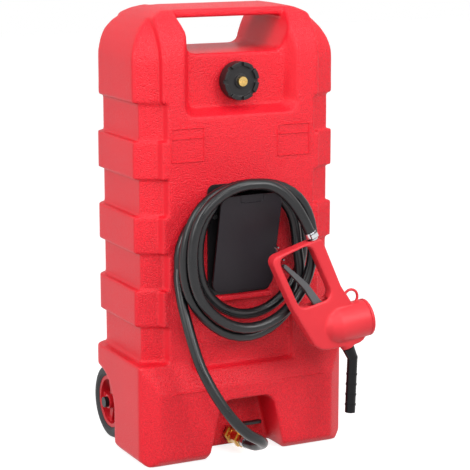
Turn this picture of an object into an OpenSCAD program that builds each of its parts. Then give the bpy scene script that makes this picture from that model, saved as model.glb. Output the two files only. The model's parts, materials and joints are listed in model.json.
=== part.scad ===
// Wheeled fuel caddy: a moulded tank with a filler cap, a drain valve, a hose on a hanger and a trigger nozzle.
// Millimetres, +Z up, the front faces -Y. The origin is on the floor under the tank.

/* [Tank] */
// Width of the base block
base_w = 432; // [420:1:444]
// Height of the base block
base_h = 194.5; // [185:0.5:205]
// Distance from the origin to the front of the base block
base_front = 108; // [102:1:116]
// Sideways leg of the chamfer on the front corners of the base block
base_chamfer = 33; // [20:1:40]
// Depth of that chamfer
chamfer_depth = 25; // [15:1:33]
// Height of the slope between the base front and the front panel
base_slope = 50; // [30:1:60]
// Distance from the origin to the rear face
tank_rear = 142; // [136:1:150]
// Height of the tank up to the crest of the handle
tank_h = 856; // [845:1:880]
// Wall thickness of the moulding
wall = 4.5; // [3.5:0.5:6]
// Radius of the upright rear corners
rear_corner_r = 30; // [20:1:40]
// Radius of the shoulders in front view
shoulder_r = 105; // [90:1:112]
// Radius of the front top edge in side view
crest_r = 110; // [100:1:114]
// Drop from the top to where the front panel starts to curve back
crest_drop = 104; // [104:1:110]
// Radius of the rear top edge in side view
rear_crest_r = 60; // [48:1:66]
// Leg of the chamfer along the front and side edges of the underside
under_chamfer = 13; // [6:1:18]

/* [Side bands] */
// Width across the raised bands
band_w = 417; // [408:1:420]
// Height of one band
band_h = 70; // [66:0.5:71]
// Depth of the grooves between the raised bands
band_depth = 11.5; // [6:0.5:14]
// Distance from the origin to the edge between side and corner strip
strip_edge = 53; // [48:1:60]
// Distance from the origin to the groove between corner strip and panel
strip_groove = 69; // [64:1:76]
// Distance from the origin to the front panel
panel_front = 86; // [80:1:92]
// Width of the front panel on the raised bands
panel_w = 326; // [310:1:336]
// Sideways slant of the panel's edge
panel_slant = 6; // [2:1:10]

/* [Cap recess and handle] */
// Depth of the cap recess behind the panel
recess_depth = 31; // [26:1:34]
// Width of the recess floor
recess_w = 200; // [180:1:206]
// Sideways flare of the recess walls
recess_flare = 18; // [8:1:24]
// Drop from the top to the lower edge of the recess floor
recess_drop = 185; // [180:1:201]
// Drop of the recess sill towards the front
recess_sill = 14; // [6:1:20]
// Radius of the recess's lower corners
recess_r = 14; // [8:1:20]
// Drop from the top to the floor of the hand opening
saddle_drop = 85; // [78:1:91]
// Height of the hand opening
hand_gap = 64; // [56:1:66]
// Width of the hand opening
hand_w = 226; // [214:1:232]
// How far the handle's arms lean in towards the saddle
hand_lean = 16; // [8:1:20]
// Distance from the origin to the front of the grip bar
grip_front = 25; // [15:1:30]
// Depth of the grip bar
grip_depth = 100; // [80:1:106]

/* [Foot recess and coil pocket] */
// Width of the foot recess at the floor
foot_w = 166; // [150:1:180]
// Width of the foot recess at its top
foot_top_w = 118; // [108:1:130]
// Height of the foot recess
foot_h = 115; // [100:1:125]
// Depth of the foot recess
foot_depth = 75; // [70:1:80]
// Width of the shallow pocket behind the hose coil
pocket_w = 214; // [180:1:240]
// Depth of that pocket
pocket_depth = 8; // [4:1:10]
// Height of the pocket's lower edge
pocket_z = 180; // [172:1:200]
// Height of the pocket
pocket_h = 124; // [100:1:124]

/* [Cap] */
// Drop from the top to the cap's axis
cap_drop = 137; // [132:1:144]
// Outside diameter of the cap
cap_d = 72; // [70:1:84]
// Thickness of the cap's end wall
cap_top = 10.5; // [9.5:0.5:12]
// Number of notches in the cap's rim
cap_notches = 8; // [6:1:12]
// Width of a notch
notch_w = 7; // [4:0.5:9]
// Outside diameter of the filler neck
neck_d = 58; // [52:1:59]
// Bore of the filler neck
neck_bore = 44; // [36:1:46]
// Length of the neck in front of its flange
neck_l = 12; // [11:1:15]
// Thickness of the neck's flange
neck_flange = 3; // [2:0.5:4]
// Thickness of the cap gasket
gasket_t = 1.8; // [1:0.1:3]
// Diameter of the vent screw's head
vent_d = 18; // [14:0.5:22]
// Diameter of the vent screw's shank
vent_shank = 8; // [6:0.5:9]

/* [Wheels] */
// Diameter of the tyres
wheel_d = 146; // [138:1:152]
// Distance from the origin back to the axle
wheel_y = 118; // [112:1:120]
// Width of a tyre
tyre_w = 34; // [28:1:36]
// Distance from the middle of the tank to a wheel well's wall
well_x = 157; // [150:1:160]
// Room between the tyre and its well
well_gap = 4; // [3:0.5:8]
// Room between the tyre and the well's wall
wheel_gap = 6; // [4:0.5:8]
// Diameter of the hub's rim
rim_d = 104; // [96:1:110]
// Thickness of the hub's rim
rim_t = 8; // [5:0.5:10]
// Diameter of the axle
axle_d = 12; // [10:0.5:14]
// Wall of the axle bushes
bush_t = 2; // [1.5:0.5:3]
// Number of spokes
spokes = 5; // [4:1:6]
// Width of a spoke
spoke_w = 13; // [9:0.5:16]

/* [Hose hanger] */
// Sideways place of the hanger
hanger_x = -9; // [-12:1:0]
// Width of the back flange
flange_w = 132; // [122:1:140]
// Height of the back flange's lower edge
flange_z = 319; // [319:1:330]
// Height of the back flange
flange_h = 211; // [204:1:216]
// Thickness of the back flange
flange_t = 4; // [3:0.5:4.5]
// Width of the core that carries the coil
core_w = 92; // [70:1:92]
// Height of the top of the core
core_top = 513; // [490:1:513]
// Height of the underside of the core
core_z = 345; // [335:1:360]
// Width of the front plate
plate_w = 127; // [110:1:135]
// Length of the front plate
plate_l = 195; // [185:1:197]
// Thickness of the front plate
plate_t = 5; // [3:0.5:6]
// Lean of the front plate
plate_lean = 12.7; // [12.4:0.1:13]
// Height of the front plate's lower edge
plate_z = 326; // [323:1:328]
// Room between the panel and the lower edge of the front plate
plate_gap = 10; // [8:0.5:12]
// Height of the lip under the hanger
lip_h = 12; // [8:1:13]
// Depth of that lip
lip_depth = 10; // [6:1:12]
// Thread diameter of the hanger screws
screw_d = 5; // [4:0.5:6]

/* [Drain] */
// Height of the drain's axis
drain_z = 24; // [23:0.5:30]
// Bore of the drain
drain_bore = 10; // [8:0.5:11]
// Thread diameter of the bulkhead stub
stub_d = 20; // [18:0.5:21]
// Thickness of the bulkhead seal
seal_t = 3; // [2:0.5:4]
// Thickness of the bulkhead's hexagon
bulkhead_t = 8; // [6:0.5:10]
// Length of the valve body
valve_l = 36; // [34:1:40]
// Outside diameter of the valve body
valve_d = 28; // [27:0.5:32]
// Diameter of the valve ball
ball_d = 20; // [18:0.5:20.5]
// Diameter of the valve stem
stem_d = 8; // [6:0.5:9]
// Length of the valve lever
lever_l = 46; // [36:1:50]
// Length of the barb's hexagon
barb_l = 12; // [8:0.5:14]

/* [Hose] */
// Outside diameter of the hose
hose_d = 20; // [18:0.5:20]
// Radial room between a clamp and the hose
clamp_gap = 0.1; // [0.05:0.05:0.3]
// Width of a hose clamp's band
clamp_w = 10; // [7:0.5:12]
// Thickness of a hose clamp's band
clamp_t = 1.4; // [1:0.1:2]

/* [Nozzle] */
// Thickness of the nozzle body
nozzle_t = 26; // [25:1:28]
// Tilt of the nozzle
nozzle_tilt = 25.5; // [23:0.5:28]
// Diameter of the cross chamber
chamber_d = 72; // [70:1:76]
// Bore of the cross chamber
chamber_bore = 28; // [26:1:30]
// Diameter of the trigger pin
pin_d = 6; // [4:0.5:7]
// Thickness of the trigger
trigger_t = 10; // [8:0.5:12]
// Length of the trigger from its pin to its tip
trigger_l = 107; // [96:1:108]
// Diameter of the clip's wire
wire_d = 3; // [2:0.2:3.4]
// Diameter of the spout
spout_d = 20; // [18:0.5:22]
// Length of the spout below its knee
spout_l = 108; // [96:1:112]
// Number of ribs round the spout
spout_ribs = 4; // [2:1:6]

/* [Hidden] */
$fn = 64;

// Clearances
run_fit = 0.05;
seat_gap = 0.3;
over = 12;

// Colours
red = [0.84, 0.06, 0.09];
black = [0.06, 0.06, 0.07];
charcoal = [0.17, 0.16, 0.18];
brass = [0.80, 0.62, 0.30];
steel = [0.72, 0.72, 0.74];
grey = [0.42, 0.43, 0.44];

// Places worked out from the driving sizes. A "far" value is a distance forward of the origin, along -Y.
band_count = 7;
bands_top = base_h + band_count * band_h;
front_far = base_front + over;
recess_far = panel_front - recess_depth;
crest_z = tank_h - crest_drop;
recess_z = tank_h - recess_drop;
saddle_z = tank_h - saddle_drop;
cap_z = tank_h - cap_drop;
hand_top = saddle_z + hand_gap;
foot_far = base_front - foot_depth;
wheel_r = wheel_d / 2;
well_r = wheel_r + well_gap;
tyre_in = well_x + wheel_gap;
tyre_out = tyre_in + tyre_w;
axle_r = axle_d / 2;
bush_r = axle_r + bush_t;
neck_front = recess_far + neck_flange + neck_l;
cap_rear = recess_far + neck_flange + seat_gap;
cap_inner = neck_front + seat_gap + gasket_t;
cap_front = cap_inner + cap_top;
cap_dish = 6.5;
vent_seat = cap_front - 2;
flange_far = panel_front + flange_t;
plate_far = panel_front + plate_gap;
boss_r = 9;
boss_l = 18;
screw_hole = 12;
screw_head_r = 5;
screw_x = flange_w / 2 - 13;
screw_zs = [flange_z + 26, flange_z + flange_h - 60];
seal_far = foot_far + seal_t;
bulkhead_far = seal_far + bulkhead_t;
valve_far = bulkhead_far + valve_l;
hose_far = valve_far + barb_l;
ball_far = bulkhead_far + valve_l / 2;
port_d = 16;
port_l = 8;
valve_neck_d = 16;
valve_neck_top = drain_z + valve_d / 2 + 6;
lever_t = 8;
nut_t = 4;

// Inset of a polygon listed anticlockwise, each edge moved inwards by d
function unit(v) = v / norm(v);
function turned(v) = [-v.y, v.x];
function cross2(a, b) = a.x * b.y - a.y * b.x;
function inset_point(before, here, after, d) =
    let(u1 = unit(here - before), u2 = unit(after - here),
        q1 = here + turned(u1) * d, q2 = here + turned(u2) * d)
    q1 + u1 * cross2(q2 - q1, u2) / cross2(u1, u2);
function inset(p, d) =
    d == 0 ? p : [for (i = [0:len(p) - 1])
        inset_point(p[(i + len(p) - 1) % len(p)], p[i], p[(i + 1) % len(p)], d)];
function arc(centre, r, a0, a1, steps) =
    [for (i = [0:steps]) let(a = a0 + (a1 - a0) * i / steps) centre + r * [cos(a), sin(a)]];

// Places a child drawn along +Z on an axis that runs forward from the origin plane at (x, z)
module forward(x, z) { translate([x, 0, z]) rotate([90, 0, 0]) children(); }
// Sweeps a side view, drawn as [y, z], over the width
module across(half) { rotate([90, 0, 90]) translate([0, 0, -half]) linear_extrude(2 * half) children(); }
module ring(h, r_out, r_in) {
    difference() {
        cylinder(h = h, r = r_out);
        translate([0, 0, -1]) cylinder(h = h + 2, r = r_in);
    }
}
module hexagon(h, flats) { cylinder(h = h, r = flats / 2 / cos(30), $fn = 6); }
module rounded(w, h, r) {
    translate([-w / 2, r]) square([w, h - 2 * r]);
    translate([-w / 2 + r, 0]) square([w - 2 * r, h]);
    for (x = [-1, 1], z = [r, h - r]) translate([x * (w / 2 - r), z]) circle(r);
}

// Tank: three views intersected, for the outside and again, moved in by the wall, for the hollow
module rear_plan(side, i) {
    x = side - i;
    y = tank_rear - i;
    r = rear_corner_r - i;
    translate([-x, -over]) square([2 * x, y - r + over]);
    translate([-(x - r), -over]) square([2 * (x - r), y + over]);
    for (s = [-1, 1]) translate([s * (x - r), y - r]) circle(r);
}
module base_plan(i) {
    half = base_w / 2;
    back = base_front - chamfer_depth;
    nose = half - base_chamfer * (front_far - back) / chamfer_depth;
    polygon(inset([
        [-half, 0], [-half, -back], [-nose, -front_far], [nose, -front_far], [half, -back], [half, 0]
    ], i));
    rear_plan(half, i);
}
module band_plan(side, panel, i) {
    polygon(inset([
        [-side, 0], [-side, -strip_edge], [-panel - panel_slant, -strip_groove], [-panel, -panel_front],
        [-panel - 0.5, -front_far], [panel + 0.5, -front_far], [panel, -panel_front],
        [panel + panel_slant, -strip_groove], [side, -strip_edge], [side, 0]
    ], i));
    rear_plan(side, i);
}
// Upper outline in side view, moved in by o at the front and top and by b at the rear
crest_y = 40;
crest_cut = 116;
function crest(o, b) = concat(
    [for (k = [0:6]) let(a = 15 * k) [
        tank_rear - rear_crest_r + (rear_crest_r - b) * cos(a),
        tank_h - rear_crest_r + (rear_crest_r - o) * sin(a)]],
    [[crest_y, tank_h - o - 0.5]],
    arc([crest_r - panel_front, crest_z], crest_r - o, crest_cut, 180, 6));
module side_view(i) {
    top = bands_top + 3 * over;
    across(base_w) polygon(inset([
        [-base_front, under_chamfer], [-(base_front - under_chamfer), 0], [tank_rear + over, 0],
        [tank_rear + over, top], [-panel_front, top], [-panel_front, base_h], [-base_front, base_h - base_slope]
    ], i));
}
module front_view(i) {
    half = band_w / 2 + 1;
    under = base_w / 2 - under_chamfer;
    x = half - shoulder_r;
    z = tank_h - shoulder_r;
    translate([0, tank_rear + over, 0]) rotate([90, 0, 0]) linear_extrude(tank_rear + front_far + 2 * over)
        polygon(inset(concat(
            [[over - under, -over], [under - over, -over], [under + 4 * over, 4 * over],
                [under + 4 * over, base_h + band_h], [half, bands_top]],
            arc([x, z], shoulder_r, 0, 90, 8), arc([-x, z], shoulder_r, 90, 180, 8),
            [[-half, bands_top], [-under - 4 * over, base_h + band_h], [-under - 4 * over, 4 * over]]
        ), i));
}
// The top above the bands: the strips beside the panel follow the crest over to the rear
module hood(i) {
    groove = panel_front - strip_groove;
    edge = panel_front - strip_edge;
    module outline(o, b) {
        polygon(concat([[o - panel_front, bands_top + i], [tank_rear - b, bands_top + i]], crest(o, b)));
    }
    module slice(x, o, b) {
        translate([x, 0, 0]) rotate([90, 0, 90]) linear_extrude(1, center = true) outline(o, b);
    }
    across(panel_w / 2 - i) outline(1.1 * i, i);
    hull() for (s = [-1, 1]) {
        slice(s * (panel_w / 2 + panel_slant - i - 0.5), groove + i, i + 0.5);
        slice(s * (band_w / 2 - i - 0.5), edge + i, 26 + i);
    }
}
module tank_form(i) {
    core_h = bands_top + (i > 0 ? over : 0);
    intersection() {
        union() {
            intersection() {
                union() {
                    translate([0, 0, -over]) linear_extrude(base_h - i + over) base_plan(i);
                    translate([0, 0, -over]) linear_extrude(core_h + over)
                        band_plan(band_w / 2 - band_depth, panel_w / 2 - band_depth, i);
                    for (n = [1:2:band_count - 2])
                        translate([0, 0, base_h + n * band_h + i])
                            linear_extrude(band_h - 2 * i) band_plan(band_w / 2, panel_w / 2, i);
                }
                side_view(i);
            }
            hood(i);
        }
        front_view(i);
    }
}
module cap_recess(g) {
    far = front_far + over;
    grow = (far - recess_far) / recess_depth;
    module mouth(far, half, low, r) {
        forward(0, 0) translate([0, 0, far]) linear_extrude(1) polygon(concat(
            arc([half - r, low + r], r, -90, 0, 4), [[half, tank_h + over], [-half, tank_h + over]],
            arc([r - half, low + r], r, 180, 270, 4)));
    }
    hull() {
        mouth(recess_far - g, recess_w / 2 + g, recess_z - g, recess_r + g);
        mouth(far, recess_w / 2 + g + recess_flare * grow, recess_z - g - recess_sill * grow, 2 * recess_r + g);
    }
}
module hand_opening(g) {
    half = hand_w / 2 + g;
    foot = half - hand_lean;
    corner = 12;
    low = saddle_z - g;
    depth = tank_rear + front_far + 2 * over;
    module through(top) {
        polygon([
            [-foot, low + corner / 2], [corner - foot, low], [foot - corner, low], [foot, low + corner / 2],
            [half, hand_top], [half, top], [-half, top], [-half, hand_top]
        ]);
    }
    translate([0, tank_rear + over, 0]) rotate([90, 0, 0]) linear_extrude(depth) through(hand_top + g);
    translate([0, -grip_front + g, 0]) rotate([90, 0, 0]) linear_extrude(front_far) through(tank_h + over);
    translate([0, tank_rear + over, 0]) rotate([90, 0, 0])
        linear_extrude(tank_rear + over - (grip_depth - grip_front) + g) through(tank_h + over);
}
module foot_recess(g) {
    corner = 26 + g;
    half = foot_w / 2 + g;
    half_top = foot_top_w / 2 + g;
    top = foot_h + g;
    translate([0, -(foot_far - g), 0]) rotate([90, 0, 0]) linear_extrude(base_front) hull() {
        for (s = [-1, 1]) translate([s * (half_top - corner), top - corner]) circle(corner);
        translate([-half, -over]) square([2 * half, 1]);
    }
}
module coil_pocket(g) {
    back = -(panel_front - pocket_depth - g);
    across(pocket_w / 2 + g) polygon([
        [-front_far - over, pocket_z - g - over], [back, pocket_z - g],
        [back, pocket_z + pocket_h + g], [-front_far - over, pocket_z + pocket_h + g]
    ]);
}
module wheel_wells(g) {
    depth = base_w / 2 - well_x + g + over;
    for (s = [-1, 1]) translate([s * (well_x - g + depth / 2), wheel_y, 0]) {
        translate([0, 0, wheel_r]) rotate([0, 90, 0]) cylinder(h = depth, r = well_r + g, center = true);
        translate([-depth / 2, -well_r - g, -over]) cube([depth, 2 * (well_r + g), wheel_r + over]);
    }
}
module axle_tunnel(g) {
    translate([0, wheel_y, wheel_r]) rotate([0, 90, 0])
        cylinder(h = base_w, r = axle_r + run_fit + g, center = true);
}
module tank_cuts(g) {
    cap_recess(g);
    hand_opening(g);
    foot_recess(g);
    coil_pocket(g);
    wheel_wells(g);
    axle_tunnel(g);
}
module at_screws() {
    for (s = [-1, 1], z = screw_zs) forward(hanger_x + s * screw_x, z) children();
}
module tank() {
    color(red) difference() {
        union() {
            difference() {
                tank_form(0);
                tank_cuts(0);
                difference() {
                    tank_form(wall);
                    tank_cuts(wall);
                    at_screws() translate([0, 0, panel_front - boss_l]) cylinder(h = boss_l, r = boss_r);
                }
            }
            translate([hanger_x - flange_w / 2, -panel_front - lip_depth, flange_z - seat_gap - lip_h])
                cube([flange_w, lip_depth + wall / 2, lip_h]);
        }
        forward(0, cap_z) translate([0, 0, recess_far - 2 * wall])
            cylinder(h = 3 * wall, r = neck_d / 2 + run_fit);
        forward(0, drain_z) translate([0, 0, foot_far - 2 * wall])
            cylinder(h = 3 * wall, r = stub_d / 2 + run_fit);
        at_screws() translate([0, 0, panel_front - screw_hole])
            cylinder(h = screw_hole + 1, r = screw_d / 2 + run_fit);
    }
}

// Filler
module filler_neck() {
    root = recess_far - wall - 6;
    color(black) forward(0, cap_z) difference() {
        union() {
            translate([0, 0, root]) cylinder(h = neck_front - root, r = neck_d / 2);
            translate([0, 0, recess_far]) cylinder(h = neck_flange, r = neck_d / 2 + 5);
        }
        translate([0, 0, root - 1]) cylinder(h = neck_front - root + 2, r = neck_bore / 2);
    }
}
module cap() {
    skirt = neck_d / 2 + 2 * seat_gap;
    rim = cap_d / 2;
    ring_t = 7.5;
    dish = cap_front - cap_dish;
    color(black) forward(0, cap_z) difference() {
        translate([0, 0, cap_rear]) cylinder(h = cap_front - cap_rear, r = rim);
        translate([0, 0, cap_rear - 1]) cylinder(h = cap_inner - cap_rear + 1, r = skirt);
        difference() {
            translate([0, 0, dish]) cylinder(h = cap_dish + 1, r = rim - ring_t);
            translate([0, 0, dish - 1]) cylinder(h = vent_seat - dish + 1, r = vent_d / 2 + 4);
        }
        translate([0, 0, cap_inner - 1]) cylinder(h = cap_top + 2, r = vent_shank / 2 + run_fit);
        for (n = [0:cap_notches - 1]) rotate(n * 360 / cap_notches)
            translate([rim - ring_t - 2, -notch_w / 2, dish + 0.5]) cube([rim, notch_w, cap_dish + 1]);
    }
}
module cap_gasket() {
    color(charcoal) forward(0, cap_z) translate([0, 0, neck_front + seat_gap])
        ring(gasket_t, neck_d / 2 - 0.5, neck_bore / 2 + 1);
}
module vent_screw() {
    head_t = 6;
    slot = [vent_d * 0.7, 2, 1.6];
    color(brass) forward(0, cap_z) difference() {
        union() {
            translate([0, 0, vent_seat]) cylinder(h = head_t, r = vent_d / 2);
            translate([0, 0, cap_inner - 4]) cylinder(h = vent_seat - cap_inner + 4, r = vent_shank / 2);
        }
        translate([0, 0, vent_seat + head_t]) cube([slot.x, slot.y, 2 * slot.z], center = true);
    }
}

// Wheels, drawn along +Z from the well's wall outwards
module on_axle(s) { translate([s * well_x, wheel_y, wheel_r]) rotate([0, s * 90, 0]) children(); }
hub_low = wheel_gap;
hub_high = wheel_gap + tyre_w;
module hub(s) {
    rim_r = rim_d / 2;
    boss = bush_r + 6;
    web = 12;
    mid = (hub_low + hub_high) / 2;
    color(red) on_axle(s) difference() {
        union() {
            translate([0, 0, hub_low + 4]) ring(tyre_w - 8, rim_r, rim_r - rim_t);
            translate([0, 0, hub_low]) cylinder(h = tyre_w, r = boss);
            for (n = [0:spokes - 1]) rotate(90 + n * 360 / spokes)
                translate([boss - 3, -spoke_w / 2, mid - web / 2])
                    cube([rim_r - rim_t - boss + 5, spoke_w, web]);
        }
        translate([0, 0, hub_low - 1]) cylinder(h = tyre_w + 2, r = bush_r + run_fit);
    }
}
module hub_left() { hub(-1); }
module hub_right() { hub(1); }
module tyre(s) {
    in = rim_d / 2 + run_fit;
    half = tyre_w / 2;
    color(black) on_axle(s) translate([0, 0, (hub_low + hub_high) / 2]) rotate_extrude($fn = 96)
        polygon([[in, -half + 4], [in + 5, -half], [wheel_r - 9, -half], [wheel_r - 3, -half + 3],
            [wheel_r, -half + 9], [wheel_r, half - 9], [wheel_r - 3, half - 3], [wheel_r - 9, half],
            [in + 5, half], [in, half - 4]]);
}
module tyre_left() { tyre(-1); }
module tyre_right() { tyre(1); }
axle_end = well_x + hub_high + 4;
module axle() {
    color(steel) translate([0, wheel_y, wheel_r]) rotate([0, 90, 0])
        cylinder(h = 2 * axle_end, r = axle_r, center = true);
}
module axle_bushes() {
    color(grey) for (s = [-1, 1]) on_axle(s) difference() {
        union() {
            cylinder(h = hub_low - seat_gap, r = bush_r + 4);
            cylinder(h = hub_high, r = bush_r);
        }
        translate([0, 0, -1]) cylinder(h = hub_high + 2, r = axle_r + run_fit);
    }
}
module push_caps() {
    cap_h = 8;
    color(black) for (s = [-1, 1]) on_axle(s) translate([0, 0, hub_high + seat_gap]) difference() {
        cylinder(h = cap_h, r = bush_r + 2.5);
        translate([0, 0, -1]) cylinder(h = 5, r = axle_r + run_fit);
    }
}

// Hose hanger: a back flange and core in one piece, with a leaning front plate
function plate_back(z) = plate_far + (z - plate_z) * tan(plate_lean);
module on_plate() { translate([hanger_x, -plate_far, plate_z]) rotate([plate_lean, 0, 0]) children(); }
peg_d = 8;
peg_l = 7;
peg_zs = [(core_z - plate_z) + 22, (core_top - plate_z) - 40];
module pegs(r) {
    for (z = peg_zs) on_plate() translate([0, -plate_t / 2, z]) rotate([-90, 0, 0])
        cylinder(h = peg_l + plate_t / 2, r = r);
}
module hanger_bracket() {
    half = core_w / 2;
    color(black) difference() {
        union() {
            forward(hanger_x, flange_z) translate([0, 0, panel_front]) linear_extrude(flange_t)
                rounded(flange_w, flange_h, 15);
            intersection() {
                forward(hanger_x, 0) translate([0, 0, panel_front + 1]) linear_extrude(base_front) union() {
                    translate([0, core_top - half]) circle(half);
                    translate([-half, core_z]) square([core_w, core_top - half - core_z]);
                }
                across(base_w) polygon([[0, plate_z], [-plate_back(plate_z), plate_z],
                    [-plate_back(core_top + over), core_top + over], [0, core_top + over]]);
            }
        }
        at_screws() translate([0, 0, panel_front - 1]) cylinder(h = flange_t + 2, r = screw_d / 2 + run_fit);
        pegs(peg_d / 2 + run_fit);
    }
}
module hanger_plate() {
    tab = [48, 15];
    color(charcoal) {
        on_plate() difference() {
            rotate([90, 0, 0]) linear_extrude(plate_t) rounded(plate_w, plate_l, 20);
            translate([0, -plate_t / 2, plate_l - tab.y]) rotate([90, 0, 0])
                linear_extrude(plate_t) rounded(tab.x, 2 * tab.y, 6);
        }
        pegs(peg_d / 2);
    }
}
module hanger_screws() {
    color(steel) at_screws() {
        translate([0, 0, panel_front - screw_hole + 1])
            cylinder(h = screw_hole + flange_t - 1, r = screw_d / 2);
        translate([0, 0, flange_far]) cylinder(h = 3, r = screw_head_r);
    }
}

// Drain
module bulkhead_fitting() {
    tail = foot_far - wall - 12;
    color(brass) forward(0, drain_z) difference() {
        union() {
            translate([0, 0, tail]) cylinder(h = seal_far - tail, r = stub_d / 2);
            translate([0, 0, seal_far]) hexagon(bulkhead_t, stub_d + 12);
            translate([0, 0, bulkhead_far]) cylinder(h = port_l, r = port_d / 2);
        }
        translate([0, 0, tail - 1]) cylinder(h = bulkhead_far + port_l - tail + 2, r = drain_bore / 2);
    }
}
module bulkhead_nut() {
    thick = 8;
    color(brass) forward(0, drain_z) translate([0, 0, foot_far - wall - thick]) difference() {
        hexagon(thick, stub_d + 10);
        translate([0, 0, -1]) cylinder(h = thick + 2, r = stub_d / 2 + run_fit);
    }
}
module outlet_seal() {
    color(black) forward(0, drain_z) translate([0, 0, foot_far])
        ring(seal_t, stub_d / 2 + 6, stub_d / 2 + run_fit);
}
module valve_body() {
    color(brass) difference() {
        union() {
            forward(0, drain_z) {
                translate([0, 0, bulkhead_far]) cylinder(h = valve_l, r = valve_d / 2);
                for (far = [bulkhead_far, valve_far - port_l - 2])
                    translate([0, 0, far]) hexagon(port_l + 2, valve_d);
            }
            translate([0, -ball_far, drain_z]) cylinder(h = valve_neck_top - drain_z, r = valve_neck_d / 2);
        }
        forward(0, drain_z) {
            translate([0, 0, bulkhead_far - 1]) cylinder(h = valve_l + 2, r = drain_bore / 2);
            translate([0, 0, bulkhead_far - 1]) cylinder(h = port_l + 1, r = port_d / 2 + run_fit);
            translate([0, 0, valve_far - port_l]) cylinder(h = port_l + 1, r = port_d / 2 + run_fit);
            translate([0, 0, ball_far]) sphere(ball_d / 2 + seat_gap);
        }
        translate([0, -ball_far, drain_z]) cylinder(h = valve_neck_top, r = stem_d / 2 + run_fit);
    }
}
module valve_ball() {
    color(steel) translate([0, -ball_far, drain_z]) rotate([0, 90, 0]) rotate_extrude() difference() {
        circle(ball_d / 2);
        translate([-ball_d, -ball_d]) square([ball_d + drain_bore / 2, 2 * ball_d]);
    }
}
module valve_stem() {
    low = drain_z + ball_d / 2 + run_fit;
    color(steel) translate([0, -ball_far, low])
        cylinder(h = valve_neck_top + seat_gap + lever_t + nut_t - low, r = stem_d / 2);
}
module valve_lever() {
    hub_r = stem_d / 2 + 5;
    color(black) translate([0, -ball_far, valve_neck_top + seat_gap]) difference() {
        union() {
            cylinder(h = lever_t, r = hub_r);
            translate([0, -6, 2]) cube([lever_l, 12, lever_t - 3]);
            translate([lever_l, 0, 2]) cylinder(h = lever_t - 3, r = 6);
        }
        translate([0, 0, -1]) cylinder(h = lever_t + 2, r = stem_d / 2 + run_fit);
    }
}
module lever_nut() {
    color(steel) translate([0, -ball_far, valve_neck_top + seat_gap + lever_t]) difference() {
        hexagon(nut_t, stem_d + 6);
        translate([0, 0, -1]) cylinder(h = nut_t + 2, r = stem_d / 2 + run_fit);
    }
}
module hose_barb() {
    color(brass) forward(0, drain_z) difference() {
        union() {
            translate([0, 0, valve_far - port_l]) cylinder(h = port_l, r = port_d / 2);
            translate([0, 0, valve_far]) hexagon(barb_l, valve_d - 4);
        }
        translate([0, 0, valve_far - port_l - 1]) cylinder(h = port_l + barb_l + 2, r = drain_bore / 2 - 1);
    }
}

// Hose: a tube swept along points, each ring square to the way it runs
hose_sides = 8;
function way(p, i) = unit(p[min(i + 1, len(p) - 1)] - p[max(i - 1, 0)]);
module swept(p, r, sides, first) {
    n = len(p);
    sideways = [for (i = 0, s = first; i < n;
        i = i + 1, s = i < n ? unit(s - way(p, i) * (s * way(p, i))) : s) s];
    rings = [for (i = [0:n - 1], k = [0:sides - 1])
        let(t = way(p, i), s = sideways[i], a = (k + 0.5) * 360 / sides)
            p[i] + r * (cos(a) * s + sin(a) * cross(t, s))];
    faces = concat(
        [for (k = [1:sides - 2]) [0, k, k + 1]],
        [for (k = [1:sides - 2]) let(e = (n - 1) * sides) [e, e + k + 1, e + k]],
        [for (i = [0:n - 2], k = [0:sides - 1]) let(a = i * sides, j = (k + 1) % sides)
            [a + k, a + sides + k, a + j]],
        [for (i = [0:n - 2], k = [0:sides - 1]) let(a = i * sides, j = (k + 1) % sides)
            [a + j, a + sides + k, a + sides + j]]
    );
    polyhedron(rings, faces);
}
// Smooth curve through hand-chosen points
function blend4(a, b, c, d, u) =
    0.5 * (2 * b + (c - a) * u + (2 * a - 5 * b + 4 * c - d) * u * u + (3 * b - a - 3 * c + d) * u * u * u);
function smooth(p, steps) = concat(
    [for (i = [1:len(p) - 3], k = [0:steps - 1]) blend4(p[i - 1], p[i], p[i + 1], p[i + 2], k / steps)],
    [p[len(p) - 2]]);
// The riser: out of the barb, round a low bend and up to the left side of the coil
riser_top = [-138, -97, 402 - hose_d];
riser_route = [
    [0, 6 - hose_far, drain_z], [0, -hose_far - 14, drain_z], [1, -hose_far - 35, drain_z + 2.4],
    [2, -hose_far - 50, drain_z + 6], [0, -170, 42], [-16, -190, 56], [-44, -200, 74],
    [-68, -200, 97], [-88, -195, 123], [-104, -187, 150], [-117, -177, 178], [-128, -164, 210],
    [-135, -150, 246],
    [-140, -135, 284], [-143, -119, 322], [-142, -104, 358], riser_top - [0, 0, 2], riser_top + [0, 0, 18]
];
riser_points = concat([[0, -hose_far, drain_z]], smooth(riser_route, 3), [riser_top]);
module hose_riser() { color(black) swept(riser_points, hose_d / 2, hose_sides, [1, 0, 0]); }
// The coil: radius at each eighth of a turn, from the left side clockwise as seen from the front
coil_radii = [
    134, 134, 118, 122, 120, 122, 122, 121, 110, 100, 112, 124, 116, 104, 138, 160, 146, 134,
    137, 130, 139, 130, 134, 141, 132, 123, 134, 133, 114, 114
];
coil_centre = [-4, 402];
coil_drift = [-4.3, 1.7];
coil_far = 97;
coil_step = 21;
coil_spread = 13;
coil_rings = 24;
coil_end = 3.25;
function ease(u) = let(c = max(0, min(1, u))) c * c * (3 - 2 * c);
function coil_radius(t) = let(q = floor(t * 8), i = q + 1)
    blend4(coil_radii[i - 1], coil_radii[i], coil_radii[i + 1], coil_radii[i + 2], t * 8 - q);
function coil_point(t) = let(r = coil_radius(t), a = 360 * t) [
    coil_centre.x + coil_drift.x * t - r * cos(a),
    -(coil_far + coil_step * t + coil_spread * ease((t - 3) * 3)),
    coil_centre.y + coil_drift.y * t + r * sin(a)
];
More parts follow.
